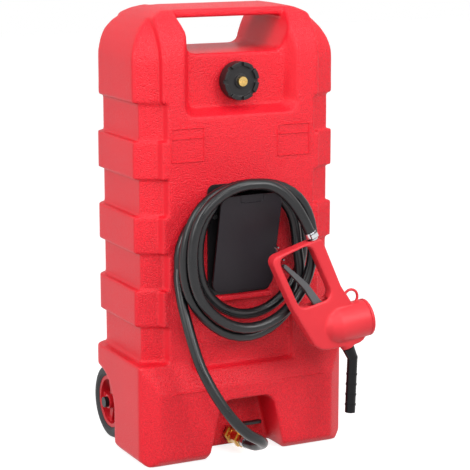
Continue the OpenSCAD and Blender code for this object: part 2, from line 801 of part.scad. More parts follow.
// Nozzle frame: u to the right along the nozzle, v up, w towards the front
nozzle_at = [90, -186, 435];
module in_nozzle() { translate(nozzle_at) rotate([0, -nozzle_tilt, 0]) rotate([90, 0, 0]) children(); }
function nozzle_point(u, v) =
    nozzle_at + [u * cos(nozzle_tilt) - v * sin(nozzle_tilt), 0, u * sin(nozzle_tilt) + v * cos(nozzle_tilt)];
inlet_u = 2;
hose_top_v = -4;
inlet_run = [nozzle_point(inlet_u, hose_top_v + hose_d), nozzle_point(inlet_u, hose_top_v)];
function bezier(a, b, c, d, u) =
    a * pow(1 - u, 3) + 3 * b * u * pow(1 - u, 2) + 3 * c * u * u * (1 - u) + d * pow(u, 3);
coil_loops = [for (k = [0:round(coil_end * coil_rings)]) coil_point(k / coil_rings)];
coil_last = coil_loops[len(coil_loops) - 1];
coil_heading = unit(coil_last - coil_loops[len(coil_loops) - 2]);
inlet_heading = unit(inlet_run[1] - inlet_run[0]);
lead_reach = norm(inlet_run[0] - coil_last) * 0.36;
lead_in = [for (k = [1:6]) bezier(coil_last, coil_last + coil_heading * lead_reach,
    inlet_run[0] - inlet_heading * lead_reach, inlet_run[0], k / 6)];
coil_points = concat([coil_loops[0] - [0, 0, hose_d]],
    coil_loops, lead_in, [inlet_run[1]]);
// Least gap between turns, measured between points that are half a turn or more apart along the hose
coil_gap = min([for (i = [0:len(coil_points) - 1], j = [0:len(coil_points) - 1])
    if (j - i >= coil_rings / 2) norm(coil_points[i] - coil_points[j])]) - hose_d;
module hose_coil() {
    echo(coil_gap = coil_gap);
    color(black) swept(coil_points, hose_d / 2, hose_sides, [1, 0, 0]);
}
module hose_clamp() {
    in = hose_d / 2 + clamp_gap;
    screw_r = 3;
    ring(clamp_w, in + clamp_t, in);
    translate([-7, in + clamp_t / 2, 1]) difference() {
        cube([14, 7, clamp_w - 2]);
        translate([-1, 4, clamp_w / 2 - 1]) rotate([0, 90, 0]) cylinder(h = 16, r = screw_r - 0.5);
    }
}
clamp_inset = 2;
module hose_clamp_lower() {
    color(steel) forward(0, drain_z) translate([0, 0, hose_far + clamp_inset]) hose_clamp();
}
module hose_clamp_upper() {
    color(steel) in_nozzle() translate([inlet_u, hose_top_v + 2 * clamp_inset, 0]) rotate([-90, 0, 0])
        rotate(180) hose_clamp();
}

// Nozzle
chamber_v = -180;
chamber_lean = 18.8;
chamber_right = 66;
pin_at = [-41, -125];
stem_u = -29;
heel = [12, -10];
heel_r = 5;
trigger_lean = 16.5;
poppet_r = 3;
poppet_top = pin_at.y + heel.y - heel_r - seat_gap;
disc_r = 10;
disc_t = 4;
disc_v = chamber_v + 8;
spout_u = -20;
spout_v = -221;
collar_v = -236;
inlet_bore = 10;
feed_bore = 8;
inlet_r = 8;
inlet_socket = 18;
module blob(list) { hull() for (c = list) translate([c[0], c[1]]) circle(c[2], $fn = 32); }
module nozzle_outline() {
    difference() {
        union() {
            blob([[-81, -6.5, 14], [3, -18, 12.5], [1, -114, 12], [-48, -178, 38], [-75, -100, 20]]);
            blob([[1, -114, 12], [6, -165, 14], [2, -214, 23], [-48, -178, 38], [-75, -100, 20]]);
        }
        blob([[-68, -14.5, 13], [-28, -24, 18], [-26, -106, 16], [-62, -95, 19]]);
    }
}
module along_v(u, low, high, r) {
    translate([u, low, 0]) rotate([-90, 0, 0]) cylinder(h = high - low, r = r);
}
// The cross chamber's axis crosses the poppet's axis
module in_chamber() { translate([stem_u, chamber_v, 0]) rotate(-chamber_lean) rotate([0, 90, 0]) children(); }
module across_w(at, length, r) { translate([at.x, at.y, -length / 2]) cylinder(h = length, r = r); }
// Holes and pins that start at the back face and end blind, so the front face stays whole
pin_in = 10.5;
clip_in = 8;
module from_back(at, out, in, r) {
    translate([at.x, at.y, -nozzle_t / 2 - out]) cylinder(h = nozzle_t / 2 + out + in, r = r);
}
module nozzle_body() {
    slot = trigger_t + 3;
    chamber_r = chamber_d / 2;
    color(red) in_nozzle() difference() {
        union() {
            translate([0, 0, -nozzle_t / 2]) linear_extrude(nozzle_t) nozzle_outline();
            in_chamber() rotate_extrude() polygon([[0, -27], [0.39 * chamber_r, -24], [0.75 * chamber_r, -14],
                [chamber_r, 3], [chamber_r, chamber_right], [0, chamber_right]]);
            translate([26, -150, 0]) rotate_extrude() translate([14.5, 0]) circle(2.8, $fn = 24);
            along_v(spout_u, collar_v, chamber_v, spout_d / 2 + 3.6);
        }
        in_chamber() translate([0, 0, -disc_r - 6])
            cylinder(h = chamber_right + disc_r + 7, r = chamber_bore / 2);
        along_v(inlet_u, chamber_v, hose_top_v, inlet_bore / 2);
        along_v(inlet_u, hose_top_v - inlet_socket, hose_top_v + 20, inlet_r + run_fit);
        along_v(inlet_u, hose_top_v - 3, hose_top_v + 20, hose_d / 2 + 0.5);
        along_v(spout_u, spout_v, chamber_v, feed_bore / 2);
        along_v(spout_u, spout_v - 40, spout_v, spout_d / 2 + run_fit);
        along_v(stem_u, chamber_v, pin_at.y, poppet_r + run_fit);
        translate([pin_at.x - 20, poppet_top - 4, -slot / 2]) cube([42, pin_at.y + 24 - poppet_top, slot]);
        from_back(pin_at, 1, pin_in + seat_gap, pin_d / 2 + run_fit);
        from_back(clip_at, 1, clip_in + seat_gap, wire_d / 2 + run_fit);
    }
}
module inlet_barb() {
    low = hose_top_v - inlet_socket;
    color(steel) in_nozzle() difference() {
        union() {
            along_v(inlet_u, low, hose_top_v, inlet_r);
            along_v(inlet_u, hose_top_v - 3, hose_top_v, hose_d / 2);
        }
        along_v(inlet_u, low - 1, hose_top_v + 1, inlet_bore / 2);
    }
}
module chamber_cap() {
    plug = 8;
    color(red) in_nozzle() in_chamber() {
        translate([0, 0, chamber_right - plug]) cylinder(h = plug, r = chamber_bore / 2 - run_fit);
        translate([0, 0, chamber_right]) cylinder(h = 6, r = chamber_d / 2);
    }
}
module trigger() {
    // Points along the trigger: shares of its length from the pin, and offsets towards the grip
    function at(share, off) = pin_at + share * trigger_l * [-sin(trigger_lean), cos(trigger_lean)]
        + off * [cos(trigger_lean), sin(trigger_lean)];
    spine = [concat(pin_at, 8), concat(at(0.42, 5), 6), concat(at(0.66, 3.5), 5), concat(at(1, 0), 3.5)];
    color(grey) in_nozzle() difference() {
        translate([0, 0, -trigger_t / 2]) linear_extrude(trigger_t) {
            for (k = [0:len(spine) - 2]) blob([spine[k], spine[k + 1]]);
            blob([[pin_at.x, pin_at.y, 8], [pin_at.x + heel.x, pin_at.y + heel.y, heel_r]]);
        }
        across_w(pin_at, trigger_t + 2, pin_d / 2 + run_fit);
    }
}
module trigger_pin() { color(steel) in_nozzle() from_back(pin_at, 0, pin_in, pin_d / 2); }
clip_at = [-67, 2];
clip_half = nozzle_t / 2 + wire_d / 2 + 1;
clip_top = 14;
clip_low = 13;
module hold_clip() {
    r = wire_d / 2;
    color(steel) in_nozzle() {
        from_back(clip_at, clip_half - nozzle_t / 2, clip_in, r);
        translate([clip_at.x, clip_at.y, -clip_half]) {
            for (v = [-clip_low, clip_top]) translate([0, v, 0]) {
                cylinder(h = clip_half, r = r);
                sphere(r);
            }
            translate([0, -clip_low, 0]) rotate([-90, 0, 0]) cylinder(h = clip_top + clip_low, r = r);
        }
    }
}
module poppet() {
    color(steel) in_nozzle() {
        along_v(stem_u, disc_v, poppet_top, poppet_r);
        along_v(stem_u, disc_v - disc_t, disc_v, disc_r);
    }
}
spring_turns = 4;
spring_r = 6;
spring_wire = 0.8;
spring_low = chamber_v - chamber_bore / 2 + 2.4;
spring_high = disc_v - disc_t - spring_wire - seat_gap;
module poppet_spring() {
    steps = 10;
    helix = [for (k = [0:spring_turns * steps]) let(a = 360 * k / steps)
        [spring_r * cos(a), spring_r * sin(a), (spring_high - spring_low) * k / (spring_turns * steps)]];
    color(steel) in_nozzle() translate([stem_u, spring_low, 0]) rotate([-90, 0, 0])
        swept(helix, spring_wire, 6, [1, 0, 0]);
}
knee_v = spout_v - 39;
spout_lean = 2;
module spout() {
    knee = nozzle_point(spout_u, knee_v);
    r = spout_d / 2;
    bore = r - 3;
    color(black) difference() {
        union() {
            in_nozzle() along_v(spout_u, knee_v, spout_v, r);
            in_nozzle() translate([spout_u, knee_v, 0]) rotate([-90, 0, 0])
                cylinder(h = collar_v - seat_gap - knee_v, r1 = r, r2 = r + 2);
            translate(knee) sphere(r + seat_gap);
            translate(knee) rotate([0, spout_lean, 0]) {
                translate([0, 0, -spout_l]) cylinder(h = spout_l, r = r);
                for (n = [0:spout_ribs - 1]) translate([0, 0, -34 - n * 20]) cylinder(h = 3, r = r + 0.8);
            }
        }
        in_nozzle() along_v(spout_u, knee_v, spout_v + 1, bore);
        translate(knee) sphere(bore + seat_gap);
        translate(knee) rotate([0, spout_lean, 0]) translate([0, 0, -spout_l - 1])
            cylinder(h = spout_l + 1, r = bore);
    }
}

tank();
filler_neck();
cap();
cap_gasket();
vent_screw();
axle();
axle_bushes();
hub_left();
hub_right();
tyre_left();
tyre_right();
push_caps();
hanger_bracket();
hanger_plate();
hanger_screws();
bulkhead_fitting();
bulkhead_nut();
outlet_seal();
valve_body();
valve_ball();
valve_stem();
valve_lever();
lever_nut();
hose_barb();
hose_clamp_lower();
hose_riser();
hose_coil();
hose_clamp_upper();
inlet_barb();
nozzle_body();
chamber_cap();
trigger();
trigger_pin();
hold_clip();
poppet();
poppet_spring();
spout();
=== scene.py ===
import json
import math
import bmesh
import bpy
from mathutils import Matrix, Vector

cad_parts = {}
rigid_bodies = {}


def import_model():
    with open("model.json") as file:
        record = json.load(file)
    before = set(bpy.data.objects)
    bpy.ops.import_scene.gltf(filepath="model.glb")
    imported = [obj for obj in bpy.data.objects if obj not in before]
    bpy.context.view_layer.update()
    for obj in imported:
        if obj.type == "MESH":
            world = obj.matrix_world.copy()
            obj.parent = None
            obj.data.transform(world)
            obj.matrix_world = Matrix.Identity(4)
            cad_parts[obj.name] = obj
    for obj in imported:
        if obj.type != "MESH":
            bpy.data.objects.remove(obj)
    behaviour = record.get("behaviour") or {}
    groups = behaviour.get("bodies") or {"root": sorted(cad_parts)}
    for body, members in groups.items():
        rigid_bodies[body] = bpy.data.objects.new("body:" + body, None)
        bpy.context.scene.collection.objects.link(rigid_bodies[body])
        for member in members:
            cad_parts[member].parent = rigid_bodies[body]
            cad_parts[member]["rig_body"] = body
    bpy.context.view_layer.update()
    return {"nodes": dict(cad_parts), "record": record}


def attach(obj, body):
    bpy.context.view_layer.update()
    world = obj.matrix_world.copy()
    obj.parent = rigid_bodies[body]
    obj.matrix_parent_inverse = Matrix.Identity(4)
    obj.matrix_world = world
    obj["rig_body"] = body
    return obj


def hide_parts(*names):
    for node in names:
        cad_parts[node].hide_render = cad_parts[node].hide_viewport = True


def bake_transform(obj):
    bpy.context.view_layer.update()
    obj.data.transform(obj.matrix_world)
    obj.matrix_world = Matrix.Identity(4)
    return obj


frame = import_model()
nodes = frame["nodes"]
slotOf = {s["node"]: s["material_slot"] for s in frame["record"]["subparts"]}
scene = bpy.context.scene


def place(obj, body=None, stands=()):
    if obj.name not in scene.collection.objects:
        scene.collection.objects.link(obj)
    if body:
        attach(obj, body)
    if stands:
        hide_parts(*stands)
    return obj


def facing(at, aim):
    return (Vector(aim) - Vector(at)).to_track_quat("-Z", "Y").to_euler()


def between(low, high, value):  # 0 at low, 1 at high
    return max(0.0, min(1.0, (value - low) / (high - low)))


# Camera
shot = dict(at=(-1.460, -2.972, 1.082), aim=(0.02615, 0.0, 0.4107), lens=133.93, sensor=36, farClip=60)
cameraData = bpy.data.cameras.new("camera")
cameraData.lens = shot["lens"]
cameraData.sensor_width = shot["sensor"]
cameraData.clip_end = shot["farClip"]
camera = place(bpy.data.objects.new("camera", cameraData))
camera.location = shot["at"]
camera.rotation_euler = facing(shot["at"], shot["aim"])
scene.camera = camera
print("camera", shot["lens"])

# Hose route, in metres: a riser from the barb, the turns on the hanger, then a lead into the nozzle
hose = dict(
    diameter=0.020, roundness=5,
    riser=[
        (0, -0.086, 0.024), (0, -0.106, 0.024), (0.001, -0.127, 0.0264), (0.002, -0.142, 0.030),
        (0, -0.170, 0.042), (-0.016, -0.190, 0.056), (-0.044, -0.200, 0.074), (-0.068, -0.200, 0.097),
        (-0.088, -0.195, 0.123), (-0.104, -0.187, 0.150), (-0.117, -0.177, 0.178), (-0.128, -0.164, 0.210),
        (-0.135, -0.150, 0.246), (-0.140, -0.135, 0.284), (-0.143, -0.119, 0.322), (-0.142, -0.104, 0.358),
        (-0.138, -0.097, 0.380), (-0.138, -0.097, 0.400)],
    start=(0, -0.092, 0.024), join=(-0.138, -0.097, 0.382),
    radii=[
        134, 134, 118, 122, 120, 122, 122, 121, 110, 100, 112, 124, 116, 104, 138, 160, 146, 134,
        137, 130, 139, 130, 134, 141, 132, 123, 134, 133, 114, 114],  # mm at each eighth of a turn
    centre=(-0.004, 0.402), drift=(-0.0043, 0.0017), far=0.097, step=0.021, turns=3.25,
    spread=0.013, spreadFrom=3, spreadRate=3,  # the end of the coil stands further out
    riserSteps=5, turnSteps=48, endSteps=24, leadSteps=12, leadPull=0.36)
nozzle = dict(at=Vector((0.090, -0.186, 0.435)), tilt=math.radians(25.5), inlet=0.002, hoseTop=-0.004)


def nozzlePoint(u, v):  # from the nozzle's own flat axes
    c, s = math.cos(nozzle["tilt"]), math.sin(nozzle["tilt"])
    return nozzle["at"] + Vector((u * c - v * s, 0.0, u * s + v * c))


def nozzleFlat(co):  # back to the nozzle's own flat axes
    flat = co - nozzle["at"]
    c, s = math.cos(nozzle["tilt"]), math.sin(nozzle["tilt"])
    return flat.x * c + flat.z * s, flat.z * c - flat.x * s


def blend4(a, b, c, d, u):  # a smooth curve from b to c
    square = (2 * a - 5 * b + 4 * c - d) * u * u
    cube = (3 * b - a - 3 * c + d) * u * u * u
    return 0.5 * (2 * b + (c - a) * u + square + cube)


def coilPoint(t):
    eighth = math.floor(t * 8)
    radius = 0.001 * blend4(*hose["radii"][eighth:eighth + 4], t * 8 - eighth)
    u = between(0.0, 1.0, (t - hose["spreadFrom"]) * hose["spreadRate"])
    out = hose["far"] + hose["step"] * t + hose["spread"] * (u * u * (3 - 2 * u))
    a = 2 * math.pi * t
    return Vector((
        hose["centre"][0] + hose["drift"][0] * t - radius * math.cos(a),
        -out,
        hose["centre"][1] + hose["drift"][1] * t + radius * math.sin(a)))


def hosePoints():
    knots = [Vector(p) for p in hose["riser"]]
    points = [Vector(hose["start"])]
    for i in range(1, len(knots) - 2):
        points += [blend4(*knots[i - 1:i + 3], k / hose["riserSteps"]) for k in range(hose["riserSteps"])]
    points += [knots[-2], Vector(hose["join"])]
    points += [coilPoint(k / hose["turnSteps"]) for k in range(round(hose["turns"] * hose["turnSteps"]) + 1)]
    last = round(hose["turns"] * hose["endSteps"])
    end = coilPoint(last / hose["endSteps"])
    heading = (end - coilPoint((last - 1) / hose["endSteps"])).normalized()
    top = nozzlePoint(nozzle["inlet"], nozzle["hoseTop"] + hose["diameter"])
    stop = nozzlePoint(nozzle["inlet"], nozzle["hoseTop"])
    pull = (top - end).length * hose["leadPull"]
    b = end + heading * pull
    c = top - (stop - top).normalized() * pull
    for k in range(1, hose["leadSteps"] + 1):
        u = k / hose["leadSteps"]
        w = 1 - u
        points.append(end * w ** 3 + b * (3 * u * w ** 2) + c * (3 * u * u * w) + top * u ** 3)
    return points + [stop]


route = hosePoints()
hoseCurve = bpy.data.curves.new("hoseLine", "CURVE")
hoseCurve.dimensions = "3D"
hoseCurve.bevel_depth = hose["diameter"] / 2
hoseCurve.bevel_resolution = hose["roundness"]
hoseCurve.use_fill_caps = True
spline = hoseCurve.splines.new("POLY")
spline.points.add(len(route) - 1)
for p, q in zip(spline.points, route):
    p.co = (*q, 1)
spline.use_smooth = True
hoseLine = place(bpy.data.objects.new("hoseLine", hoseCurve))
hoseMesh = bpy.data.meshes.new_from_object(hoseLine.evaluated_get(bpy.context.evaluated_depsgraph_get()))
hoseMesh.name = "hose"
bpy.data.objects.remove(hoseLine)
hoseObj = place(bpy.data.objects.new("hose", hoseMesh), "caddy", ("hose_riser", "hose_coil"))


# Materials
def newMaterial(name):
    mat = bpy.data.materials.new(name)
    mat.use_nodes = True
    tree = mat.node_tree
    shader = next(n for n in tree.nodes if n.type == "BSDF_PRINCIPLED")
    coords = tree.nodes.new("ShaderNodeTexCoord")
    return mat, tree, shader, coords.outputs["Object"]


def dress(mesh, mat):
    mesh.materials.clear()
    mesh.materials.append(mat)


def noise(tree, coords, scale, detail=2.0, rough=0.5, squeeze=None):
    node = tree.nodes.new("ShaderNodeTexNoise")
    node.inputs["Scale"].default_value = scale
    node.inputs["Detail"].default_value = detail
    node.inputs["Roughness"].default_value = rough
    if squeeze:
        mapping = tree.nodes.new("ShaderNodeMapping")
        mapping.inputs["Scale"].default_value = squeeze
        tree.links.new(coords, mapping.inputs["Vector"])
        coords = mapping.outputs["Vector"]
    tree.links.new(coords, node.inputs["Vector"])
    return node.outputs["Fac"]


def ranged(tree, value, low, high, outLow, outHigh):
    node = tree.nodes.new("ShaderNodeMapRange")
    node.inputs["From Min"].default_value = low
    node.inputs["From Max"].default_value = high
    node.inputs["To Min"].default_value = outLow
    node.inputs["To Max"].default_value = outHigh
    tree.links.new(value, node.inputs["Value"])
    return node.outputs["Result"]


def mathNode(tree, kind, *values):
    node = tree.nodes.new("ShaderNodeMath")
    node.operation = kind
    for value, socket in zip(values, node.inputs):
        tree.links.new(value, socket)
    return node.outputs[0]


def colour(tree, shader, factor, dark, light):
    node = tree.nodes.new("ShaderNodeMix")
    node.data_type = "RGBA"
    node.inputs[6].default_value = (*dark, 1)  # A and B of the colour mix
    node.inputs[7].default_value = (*light, 1)
    tree.links.new(factor, node.inputs["Factor"])
    tree.links.new(node.outputs[2], shader.inputs["Base Color"])


def roughness(tree, shader, value, low, high, smoothest, roughest):
    tree.links.new(ranged(tree, value, low, high, smoothest, roughest), shader.inputs["Roughness"])


def bump(tree, shader, height, strength, distance, strengthLink=None, below=None):
    node = tree.nodes.new("ShaderNodeBump")
    node.inputs["Strength"].default_value = strength
    node.inputs["Distance"].default_value = distance
    tree.links.new(height, node.inputs["Height"])
    if strengthLink is not None:
        tree.links.new(strengthLink, node.inputs["Strength"])
    if below is not None:
        tree.links.new(below, node.inputs["Normal"])
    tree.links.new(node.outputs["Normal"], shader.inputs["Normal"])
    return node.outputs["Normal"]


def moulded(name, dark, light, rough, grain, depth, specular=0.32):
    mat, tree, shader, coords = newMaterial(name)
    patch = noise(tree, coords, scale=9, detail=3)
    fine = noise(tree, coords, scale=grain, detail=3, rough=0.6)
    colour(tree, shader, ranged(tree, patch, 0.3, 0.7, 0, 1), dark, light)
    roughness(tree, shader, fine, 0.3, 0.7, rough - 0.07, rough + 0.07)
    bump(tree, shader, fine, 0.5, depth)
    shader.inputs["Specular IOR Level"].default_value = specular
    return mat


def metal(name, dark, light, rough, squeeze):
    mat, tree, shader, coords = newMaterial(name)
    brushed = noise(tree, coords, scale=500, detail=3, rough=0.6, squeeze=squeeze)
    patch = noise(tree, coords, scale=60)
    colour(tree, shader, ranged(tree, patch, 0.3, 0.7, 0, 1), dark, light)
    roughness(tree, shader, brushed, 0.3, 0.7, rough - 0.08, rough + 0.1)
    bump(tree, shader, brushed, 0.25, 0.0001)
    shader.inputs["Metallic"].default_value = 1
    return mat


def rubber(name, dark, light, rough, grain, depth):
    mat, tree, shader, coords = newMaterial(name)
    dust = noise(tree, coords, scale=25, detail=4, rough=0.6)
    fine = noise(tree, coords, scale=grain)
    colour(tree, shader, ranged(tree, dust, 0.35, 0.75, 0, 1), dark, light)
    roughness(tree, shader, dust, 0.3, 0.7, rough - 0.06, rough + 0.08)
    bump(tree, shader, fine, 0.3, depth)
    shader.inputs["Specular IOR Level"].default_value = 0.40
    return mat


# The pebble noise also paints shade into the hollows of the grain and painted light onto its raised grains,
# through the base colour
tankFinish = dict(
    pebble=440, pebbleHigh=0.0019, paintedPebbleShade=0.42, fine=900, fineHigh=0.0004, patch=7,
    dark=(0.50, 0.004, 0.013), light=(0.73, 0.008, 0.021), smoothest=0.36, roughest=0.48, specular=0.31,
    sideGrain=0.25)  # side walls are smoother


def tankPlastic():
    mat, tree, shader, coords = newMaterial("tankRed")
    pebble = noise(tree, coords, scale=tankFinish["pebble"], detail=1)
    patch = noise(tree, coords, scale=tankFinish["patch"], detail=3)
    fine = noise(tree, coords, scale=tankFinish["fine"])
    geometry = tree.nodes.new("ShaderNodeNewGeometry")
    split = tree.nodes.new("ShaderNodeSeparateXYZ")
    tree.links.new(geometry.outputs["Normal"], split.inputs["Vector"])
    sideways = mathNode(tree, "ABSOLUTE", split.outputs["X"])
    grain = ranged(tree, sideways, 0.55, 0.95, 1.0, tankFinish["sideGrain"])
    # painted shade and highlight: darker colour in the hollows of the pebble grain, lighter on the raised
    # grains, weaker on the side walls
    paintedPebbleShadeFull = ranged(tree, pebble, 0.32, 0.68, -tankFinish["paintedPebbleShade"], tankFinish["paintedPebbleShade"])
    paintedPebbleShade = mathNode(tree, "MULTIPLY", paintedPebbleShadeFull, grain)
    shade = mathNode(tree, "ADD", paintedPebbleShade, ranged(tree, patch, 0.3, 0.7, 0.42, 0.58))
    colour(tree, shader, shade, tankFinish["dark"], tankFinish["light"])
    under = bump(tree, shader, fine, 0.3, tankFinish["fineHigh"])
    bump(tree, shader, pebble, 0.6, tankFinish["pebbleHigh"], grain, under)
    roughness(tree, shader, pebble, 0.35, 0.65, tankFinish["smoothest"], tankFinish["roughest"])
    shader.inputs["Specular IOR Level"].default_value = tankFinish["specular"]
    return mat


mats = dict(
    tank_red=tankPlastic(),
    hub_red=moulded(
        "hubRed", dark=(0.50, 0.008, 0.016), light=(0.56, 0.010, 0.020), rough=0.40, grain=700,
        depth=0.0002),
    nozzle_red=moulded(
        "nozzleRed", dark=(0.56, 0.020, 0.030), light=(0.63, 0.026, 0.036), rough=0.46, grain=900,
        depth=0.0002),
    black_plastic=moulded(
        "blackPlastic", dark=(0.007, 0.006, 0.007), light=(0.012, 0.011, 0.012), rough=0.38, grain=700,
        depth=0.0004, specular=0.26),
    charcoal_plastic=moulded(
        "charcoalPlastic", dark=(0.011, 0.008, 0.011), light=(0.015, 0.011, 0.015), rough=0.44, grain=1200,
        depth=0.0002, specular=0.24),
    grey_plastic=moulded(
        "greyPlastic", dark=(0.070, 0.070, 0.074), light=(0.098, 0.098, 0.102), rough=0.40, grain=800,
        depth=0.0003),
    seal_rubber=rubber(
        "sealRubber", dark=(0.012, 0.012, 0.012), light=(0.020, 0.020, 0.020), rough=0.60, grain=900,
        depth=0.0002),
    hose_rubber=rubber(
        "hoseRubber", dark=(0.003, 0.003, 0.004), light=(0.006, 0.006, 0.007), rough=0.30, grain=900,
        depth=0.0001),
    tyre=rubber(
        "tyreRubber", dark=(0.014, 0.014, 0.016), light=(0.026, 0.026, 0.028), rough=0.62, grain=500,
        depth=0.0005),
    brass=metal(
        "brassMetal", dark=(0.52, 0.33, 0.10), light=(0.68, 0.46, 0.17), rough=0.28, squeeze=(1, 6, 1)),
    steel=metal(
        "steelMetal", dark=(0.50, 0.50, 0.52), light=(0.66, 0.66, 0.68), rough=0.28, squeeze=(6, 1, 1)))
ownLook = dict(  # nodes that differ from the rest of their slot
    spout=moulded(
        "spoutBlack", dark=(0.003, 0.003, 0.004), light=(0.005, 0.005, 0.006), rough=0.14, grain=500,
        depth=0.0001, specular=0.16),
    hold_clip=metal(
        "wireSteel", dark=(0.14, 0.14, 0.15), light=(0.22, 0.22, 0.23), rough=0.34, squeeze=(6, 1, 1)))
for name, obj in nodes.items():
    dress(obj.data, ownLook.get(name, mats[slotOf[name]]))
dress(hoseMesh, mats["hose_rubber"])
print("materials", len(mats) + len(ownLook))


# Moulded pieces: the CAD form with its edges rounded
def settled(obj):
    graph = bpy.context.evaluated_depsgraph_get()
    mesh = bpy.data.meshes.new_from_object(obj.evaluated_get(graph))
    obj.modifiers.clear()
    obj.data = mesh


def largestShell(mesh):
    bm = bmesh.new()
    bm.from_mesh(mesh)
    bm.verts.ensure_lookup_table()
    seen, best = set(), []
    for start in bm.verts:
        if start.index in seen:
            continue
        shell, todo = [], [start]
        seen.add(start.index)
        while todo:
            v = todo.pop()
            shell.append(v)
            for e in v.link_edges:
                w = e.other_vert(v)
                if w.index not in seen:
                    seen.add(w.index)
                    todo.append(w)
        if len(shell) > len(best):
            best = shell
    keep = {v.index for v in best}
    bmesh.ops.delete(bm, geom=[v for v in bm.verts if v.index not in keep], context="VERTS")
    bm.to_mesh(mesh)
    bm.free()


def plugMesh(mesh, plugs):
    bm = bmesh.new()
    bm.from_mesh(mesh)
    for at, radius, length in plugs:  # short round plugs along Y close the holes into the tank
        turn = Matrix.Translation(at) @ Matrix.Rotation(math.pi / 2, 4, "X")
        bmesh.ops.create_cone(
            bm, cap_ends=True, segments=40, radius1=radius, radius2=radius, depth=length, matrix=turn)
    bm.to_mesh(mesh)
    bm.free()


def smoothed(obj, name, passes):
    ease = obj.modifiers.new(name, "SMOOTH")
    ease.factor = 0.5
    ease.iterations = passes
    return ease


def roundedPiece(name, source, voxel, passes, keep, plugs=(), outside=False, morePasses=0, softness=None):
    mesh = nodes[source].data.copy()
    mesh.name = name
    if plugs:
        plugMesh(mesh, plugs)
    obj = place(bpy.data.objects.new(name, mesh))
    melt = obj.modifiers.new("melt", "REMESH")
    melt.mode = "VOXEL"
    melt.voxel_size = voxel
    settled(obj)
    if outside:
        largestShell(obj.data)
    smoothed(obj, "ease", passes)
    if morePasses:  # some of the moulding is rounder than the rest
        group = obj.vertex_groups.new(name="softer")
        for v in obj.data.vertices:
            group.add([v.index], softness(v.co), "REPLACE")
        smoothed(obj, "again", morePasses).vertex_group = "softer"
    thin = obj.modifiers.new("thin", "DECIMATE")
    thin.ratio = keep
    settled(obj)
    for poly in obj.data.polygons:
        poly.use_smooth = True
    dress(obj.data, mats[slotOf[source]])
    print(name, len(obj.data.polygons))
    return place(obj, nodes[source]["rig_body"], (source,))


def tankSoftness(co):  # the crown and the base
    return max(between(0.66, 0.72, co.z), between(0.25, 0.19, co.z))


tankForm = dict(
    voxel=0.0024, passes=8, keep=0.22, outside=True, morePasses=24, softness=tankSoftness,
    plugs=[(Vector((0, -0.045, 0.719)), 0.030, 0.016), (Vector((0, -0.030, 0.024)), 0.014, 0.004)])
tankShell = roundedPiece("tankShell", "tank", **tankForm)

chamber = dict(at=(-0.029, -0.180), lean=math.radians(18.8), ring=(0.026, -0.150))


def nozzleSoftness(co):  # all but the hang ring and the closed end of the cross chamber
    u, v = nozzleFlat(co)
    across, up = u - chamber["at"][0], v - chamber["at"][1]
    along = across * math.cos(chamber["lean"]) - up * math.sin(chamber["lean"])
    fromRing = math.hypot(u - chamber["ring"][0], v - chamber["ring"][1])
    return between(0.056, 0.046, along) * between(0.018, 0.026, fromRing)


nozzleForm = dict(voxel=0.0012, passes=6, keep=0.35, morePasses=50, softness=nozzleSoftness)
roundedPiece("nozzleShell", "nozzle_body", **nozzleForm)

hubForm = dict(voxel=0.0010, passes=3, keep=0.25)
roundedPiece("hubShellLeft", "hub_left", **hubForm)
roundedPiece("hubShellRight", "hub_right", **hubForm)

triggerForm = dict(voxel=0.0006, passes=6, keep=0.3)
roundedPiece("triggerLever", "trigger", **triggerForm)

chamberForm = dict(voxel=0.0007, passes=14, keep=0.3)
roundedPiece("chamberEnd", "chamber_cap", **chamberForm)

capForm = dict(voxel=0.0006, passes=4, keep=0.3)
roundedPiece("capShell", "cap", **capForm)

plateForm = dict(voxel=0.0009, passes=3, keep=0.2)
roundedPiece("plateShell", "hanger_plate", **plateForm)

# The poppet's spring: one end on its seat, the other pressed by the poppet
springMesh = nodes["poppet_spring"].data.copy()
springMesh.name = "poppetSpring"
poppetSpring = place(bpy.data.objects.new("poppetSpring", springMesh), None, ("poppet_spring",))
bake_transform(poppetSpring)

# Plain raised frames and bars on the front of the tank
marks = dict(
    wide=0.0026, high=0.0017, step=0.004, corner=0.003, inset=0.002,
    section=((-1, -0.4), (-0.6, 0.7), (0, 1), (0.6, 0.7), (1, -0.4)),  # shares of half wide, and of high
    frames=[  # x, z, width, height, divider
        (-0.1135, 0.607, 0.066, 0.062, 0.30),
        (0.107, 0.6045, 0.068, 0.059, 0.30)],
    bars=[(-0.152, 0.141, 0.077), (0.075, 0.143, 0.088)])  # x, z, length


def panelPoint(x, z):  # where the tank's front is, and which way it faces
    return tankShell.ray_cast(Vector((x, -0.5, z)), Vector((0, 1, 0)))[1:3]


def raisedLine(bm, path):
    loop = path[0] == path[-1]
    if loop:
        path = path[:-1]
    rows = []
    for i, (x, z) in enumerate(path):
        before, after = path[max(i - 1, 0)], path[min(i + 1, len(path) - 1)]
        if loop:
            before, after = path[i - 1], path[(i + 1) % len(path)]
        along = Vector((after[0] - before[0], 0, after[1] - before[1])).normalized()
        across = Vector((-along.z, 0, along.x))
        row = []
        for side, lift in marks["section"]:
            at, normal = panelPoint(
                x + across.x * side * marks["wide"] / 2, z + across.z * side * marks["wide"] / 2)
            row.append(bm.verts.new(at + normal * marks["high"] * lift))
        rows.append(row)
    for a, b in zip(rows, rows[1:] + rows[:1] if loop else rows[1:]):
        for k in range(len(a)):
            bm.faces.new((a[k - 1], a[k], b[k], b[k - 1]))
    if not loop:
        bm.faces.new(rows[0])
        bm.faces.new(rows[-1])


def stepped(a, b):
    n = max(2, round(math.dist(a, b) / marks["step"]))
    return [(a[0] + (b[0] - a[0]) * k / n, a[1] + (b[1] - a[1]) * k / n) for k in range(n + 1)]


